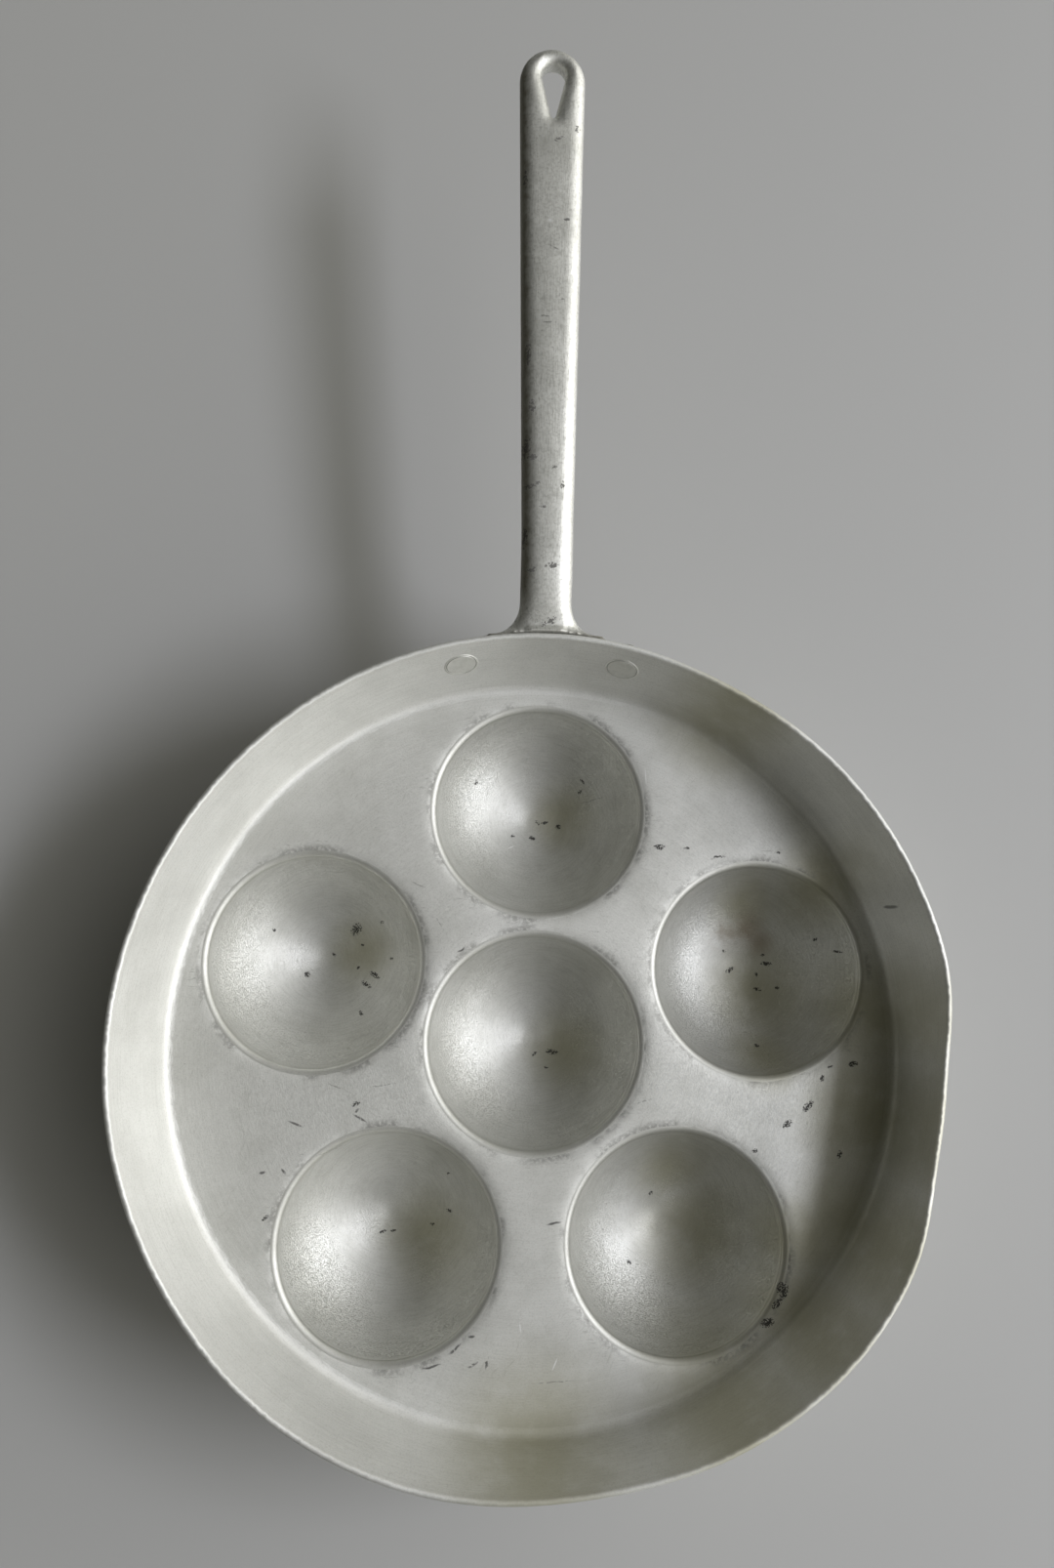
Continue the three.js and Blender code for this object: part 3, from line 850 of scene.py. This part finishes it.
def plate_point(spot, out):
    height = rivet_height + spot.y * math.cos(wall_flare)
    turn = math.pi / 2 - spot.x / wall_reach(rivet_height, plate_back)
    reach = wall_reach(height, plate_back + out)
    return Vector((reach * math.cos(turn), reach * math.sin(turn), height))


def bar_top(spot, inset):
    return bar_point(spot, inset, 1)


def bar_bottom(spot, inset):
    return bar_point(spot, inset, -1)


def plate_front(spot, inset):
    return plate_point(spot, plate_thickness - edge_drop(inset, plate_edge, plate_edge))


def plate_seat(spot, inset):
    return plate_point(spot, 0)


riveted_handle = solid_of("riveted_handle", bar_net, bar_top, bar_bottom)
plate = solid_of("plate", plate_net, plate_front, plate_seat)
cast_grain = 0.45 * MM
core_heights = (rivet_height - 2 * fillet_across, rivet_height + 2 * fillet_across)
core_rings = [circle(Vector((0, 0)), wall_reach(h, plate_back), h, wall_facets) for h in core_heights]
core_faces = [tuple(range(wall_facets)), tuple(range(wall_facets, 2 * wall_facets))]
core_faces += [(i, (i + 1) % wall_facets, (i + 1) % wall_facets + wall_facets, i + wall_facets)
               for i in range(wall_facets)]
core = make_piece("core", core_rings[0] + core_rings[1], core_faces)
for operation, tool in (("UNION", plate), ("DIFFERENCE", core)):
    cast_in_one = riveted_handle.modifiers.new(operation, "BOOLEAN")
    cast_in_one.operation = operation
    cast_in_one.solver = "EXACT"
    cast_in_one.object = tool
cast_skin = riveted_handle.modifiers.new("cast_skin", "REMESH")
cast_skin.mode = "VOXEL"
cast_skin.voxel_size = cast_grain
rubbed_smooth = riveted_handle.modifiers.new("rubbed_smooth", "SMOOTH")
rubbed_smooth.iterations = 8
bpy.context.view_layer.update()
cast = bpy.data.meshes.new_from_object(riveted_handle.evaluated_get(bpy.context.evaluated_depsgraph_get()))
riveted_handle.modifiers.clear()
riveted_handle.data = cast
for tool in (plate, core):
    bpy.data.objects.remove(tool)
cast.polygons.foreach_set("use_smooth", [True] * len(cast.polygons))

# Marks of use on the bar, noted in the same way.
bar_pits = [
    (-4.5, 170.5, 2.5, 1.2, 90), (-5.8, 159.5, 4, 1.4, 80), (-4.3, 156.6, 1.6, 1, 0),
    (-4.7, 148.6, 2, 1.1, 0), (-2.8, 149.2, 1.2, 0.8, 20), (-1.2, 142.8, 1.2, 0.5, 0),
    (4.1, 148.9, 1.4, 0.8, 90), (1.6, 153.8, 1.3, 0.6, 20), (1.4, 127.1, 2.2, 0.9, 10),
    (-3.9, 126, 1.5, 0.8, 0), (-6, 134.8, 3.5, 1, 90), (2, 113.5, 2, 1.3, 30),
    (-0.4, 112.4, 1.4, 1, 0), (7.1, 251, 1.5, 0.9, 90), (2.2, 247.5, 1.8, 0.7, 20),
    (-5.6, 186, 4, 0.9, 90), (-7, 236, 3, 0.8, 90), (4.5, 224.2, 1.2, 0.5, 0),
]
bar_scratch_width = 0.6
bar_scratches = [
    (-2.4, 194.4, 2.7, 194.6), (-3.6, 196.4, 0.8, 196.1), (1.8, 201, 4.7, 201.4), (-1, 217, 3, 215),
]
bar_dings = [(-0.1, 223.7, 0.9, 0.7, 0)]
handle_finish = Finish("cast_handle")
spot = handle_finish.spot_in_mm()
x, y, z = handle_finish.parts(spot)
widening = (bar_end_width - bar_root_width) / 2 / (bar_end_middle - bend_length)
along_bar = (y - bar_root.y / MM) / math.cos(bar_rise)
half_width = (along_bar - bend_length / MM) * widening + bar_root_width / 2 / MM
from_left = x + half_width - bar_off_middle / MM
from_right = half_width - x + bar_off_middle / MM
on_bar = along_bar.rise(6, 16)
cloud = handle_finish.grain(spot, 0.08, 4.0, 0.6)
blotches = handle_finish.grain(spot, 0.4, 3.0, 0.6)
streaks = handle_finish.grain(handle_finish.vector("MULTIPLY", spot, (2.8, 0.12, 2.8)), 1.0, 3.0, 0.6)
crumbs = handle_finish.grain(spot, 1.3, 2.0, 0.6)
bitten = closeness(handle_finish, spot, bar_pits)
pits = (bitten - (crumbs - 0.5) * 5).rise(0.2, 0.7) * bitten.rise(0, 0.2)
pits = pits.most(crumbs.rise(0.7, 0.8) * 0.8)
scored = closeness(handle_finish, spot, strokes(bar_scratches, bar_scratch_width))
scored = scored.rise(0, 0.6) * crumbs.rise(0.4, 0.5)
ding = closeness(handle_finish, spot, bar_dings).rise(0, 0.7)
# The bar's left edge, on the side away from the light, is darker: partly dirt and partly painted shade. The
# seam behind the rim is painted shade.
darker_band = (1 - (from_left + (blotches - 0.5) * 3).rise(0.6, 3.6)) * on_bar
rim_top = pan_high.z / MM
# Painted shade in the seam behind the rim.
seam_shade = (1 - along_bar.rise(1.5, 4)) * z.rise(rim_top - 7, rim_top - 4)
# Painted highlight: the bar's right edge, which faces the light, is made paler.
edge_highlight = (1 - from_right.rise(0.5, 3.2)) * on_bar
bar_bright = (0.84, 0.84, 0.8, 1)
bar_dull = (0.7, 0.7, 0.66, 1)
bar_blotch = (0.42, 0.42, 0.375, 1)
bar_streak = (0.3, 0.3, 0.265, 1)
painted_edge_highlight = (0.95, 0.95, 0.94, 1)
bar_grime_and_shade = (0.14, 0.13, 0.09, 1)
bar_pit = (0.06, 0.056, 0.05, 1)
fresh_ding = (0.97, 0.97, 0.96, 1)
patches = ((blotches - 0.5).rise(0.0, 0.25) * 0.5).most(crumbs.rise(0.42, 0.68) * 0.4)
colour = handle_finish.tinted(cloud.rise(0.35, 0.7), bar_bright, bar_dull)
colour = handle_finish.tinted(patches, colour, bar_blotch)
colour = handle_finish.tinted((streaks - 0.5).rise(0.0, 0.3) * 0.6, colour, bar_streak)
colour = handle_finish.tinted(edge_highlight * 0.15, colour, painted_edge_highlight)
colour = handle_finish.tinted((darker_band * 0.85).most(seam_shade * 0.85), colour, bar_grime_and_shade)
colour = handle_finish.tinted((pits * 0.8).most(scored * 0.5), colour, bar_pit)
colour = handle_finish.tinted(ding * 0.8, colour, fresh_ding)
roughness = 0.53 + (streaks - 0.5) * 0.3 + pits * 0.3 + seam_shade * 0.2
metallic = bare_metal - pits * 0.6 - darker_band.most(seam_shade) * 0.3
ripple = (streaks - 0.5) * 0.5 + (cloud - 0.5) * 2
worked = handle_finish.node("ShaderNodeBump", {}, {
    "Strength": 0.5, "Distance": 0.15 * MM, "Height": ripple})
handle_finish.set(Base_Color=colour, Roughness=roughness, Metallic=metallic, Normal=worked)
cast.materials.clear()
cast.materials.append(handle_finish.material)
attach(riveted_handle, "root")
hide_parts("handle")

# The rivets: two of soft aluminium, through the wall and the handle's plate. Inside the pan their heads are
# hammered nearly flush, and outside they stand on the plate as low buttons.
head_radius = 4.2 * MM
head_proud = 0.16 * MM
head_sunk = 0.6 * MM
groove_width = 0.3 * MM
collar_width = 0.5 * MM
collar_proud = 0.12 * MM
shank_radius = 1.6 * MM
button_radius = 3.8 * MM
button_height = 2.2 * MM
button_seat = plate_back + plate_thickness + seat_gap
rivet_facets = 48
head_rings = (0.5, 0.8, 0.93)
button_tip = 0.05


def rivet_profile():
    """(reach, way outwards, share of the groove's depth) of a rivet from its inside head to its button."""
    rows = [(head_radius * share, -head_proud, 0) for share in head_rings]
    for turn in steps(0, 2 * math.pi, 12):
        dip = (1 - math.cos(turn)) / 2
        crest = head_proud + (collar_proud - head_proud) * turn / (2 * math.pi)
        reach = head_radius + groove_width * (turn / (2 * math.pi) - 0.5)
        rows.append((reach, -crest * (1 - dip), dip))
    collar_edge = head_radius + groove_width / 2 + collar_width
    rows += [(collar_edge, 0, 0), (collar_edge, head_sunk, 0), (shank_radius, head_sunk, 0)]
    rows.append((shank_radius, button_seat, 0))
    dome = (button_radius ** 2 + button_height ** 2) / (2 * button_height)
    for turn in steps(math.asin(button_radius / dome), button_tip, 8):
        rows.append((dome * math.sin(turn), button_seat + button_height - dome * (1 - math.cos(turn)), 0))
    return rows


def hammered_to_wall(point):
    """A point of a rivet, bent to the round of the wall that it is hammered against."""
    return point - Vector((0, 0, point.x ** 2 / (2 * wall_reach(rivet_height, 0))))


rivet_bright = (0.77, 0.77, 0.732, 1)
rivet_dull = (0.7, 0.7, 0.66, 1)
groove_dirt = (0.1, 0.098, 0.085, 1)
rivet_finish = Finish("rivet")
spot = rivet_finish.spot_in_mm()
cloud = rivet_finish.grain(spot, 0.5, 3.0, 0.6)
colour = rivet_finish.tinted(cloud.rise(0.4, 0.7), rivet_bright, rivet_dull)
colour = rivet_finish.tinted(rivet_finish.noted("groove", "Fac") * 0.75, colour, groove_dirt)
rivet_finish.set(Base_Color=colour, Roughness=0.55 + (cloud - 0.5) * 0.2, Metallic=bare_metal)
for side, node in ((-1, "rivet_left"), (1, "rivet_right")):
    inner_reach = wall_reach(rivet_height, 0)
    turn = math.asin(side * rivet_spacing / 2 / inner_reach)
    seat = Matrix.Rotation(-turn, 4, "Z") @ Matrix.Translation((0, inner_reach, rivet_height))
    seat = seat @ Matrix.Rotation(-math.pi / 2 - wall_flare, 4, "X")
    skin = Skin()
    ring = None
    for reach, way, dip in rivet_profile():
        row = [seat @ hammered_to_wall(p) for p in circle(Vector((0, 0)), reach, way, rivet_facets)]
        row = skin.ring([bent_by_use(p) if way <= head_sunk else p for p in row], dip)
        if ring:
            skin.band(ring, row, None)
        else:
            skin.cap(row, skin.ring([bent_by_use(seat @ Vector((0, 0, way)))], 0)[0], None)
        ring = row
    skin.cap(ring, skin.ring([seat @ Vector((0, 0, button_seat + button_height))], 0)[0], None)
    rivet = make_piece("hammered_" + node, skin.points, skin.faces)
    note_on(rivet, "groove", "FLOAT", "POINT", skin.along)
    rivet.data.materials.append(rivet_finish.material)
    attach(rivet, "root")
    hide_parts(node)

# The studio: a plain pale floor just below the pan's feet, one broad soft light from the right, and a dim
# room around it that is brighter on the same side. None of it belongs to the pan.
floor_drop = 0.2 * MM
floor_reach = 12.0
floor_facets = 64
floor_middle = Vector((0, 0.08))
floor_edge = circle(floor_middle, floor_reach, -floor_drop, floor_facets)
floor = make_piece("studio_floor", floor_edge, [tuple(range(floor_facets))])
floor_finish = Finish("studio_floor")
floor_finish.set(Base_Color=(0.47, 0.47, 0.46, 1), Roughness=0.7)
floor.data.materials.append(floor_finish.material)

light_height = math.radians(43.5)
light_turn = math.radians(-3)
light_distance = 1.6
level = math.cos(light_height)
light_way = Vector((math.cos(light_turn) * level, math.sin(light_turn) * level, math.sin(light_height)))
light_at = light_way * light_distance
strip = bpy.data.lights.new("strip_light", "AREA")
strip.shape = "RECTANGLE"
strip.size = 1.0
strip.size_y = 0.3
strip.energy = 13.0
strip.color = (0.97, 0.985, 1.08)
strip_light = bpy.data.objects.new("strip_light", strip)
strip_light.location = light_at
strip_light.rotation_euler = (-light_at).to_track_quat("-Z", "Y").to_euler()
bpy.context.scene.collection.objects.link(strip_light)

room = bpy.data.worlds.new("room")
room.use_nodes = True
room_light = Nodes(room.node_tree)
room_way = room_light.node("ShaderNodeTexCoord", {}, {}, "Generated")
room_x, _, _ = room_light.parts(room_way)
room_dim = (0.05, 0.05, 0.041)
glow_tint = (1.0, 0.99, 0.93)
glow_level = 2.6
glow = glow_level * room_x.most(0.0) ** 2
room_colour = room_light.joined(*(dim + glow * tint for dim, tint in zip(room_dim, glow_tint)))
room_light.feed(room.node_tree.nodes["Background"].inputs["Color"], room_colour)
bpy.context.scene.world = room

# The camera looks down at the pan from above its middle, as the photograph does. Its place and turn come
# from a fit to the rings of the six bowls.
camera_place = Vector((-22.82, 13.54, 357.5)) * MM
camera_turn = [math.radians(a) for a in (10.0, -3.47, 0.39)]
camera = bpy.data.cameras.new("camera")
camera.sensor_width = 36
camera.lens = 27.03
camera_at = bpy.data.objects.new("camera", camera)
camera_at.location = camera_place
camera_at.rotation_euler = Euler(camera_turn, "XYZ")
bpy.context.scene.collection.objects.link(camera_at)
bpy.context.scene.camera = camera_at
bpy.context.scene.view_settings.view_transform = "Standard"
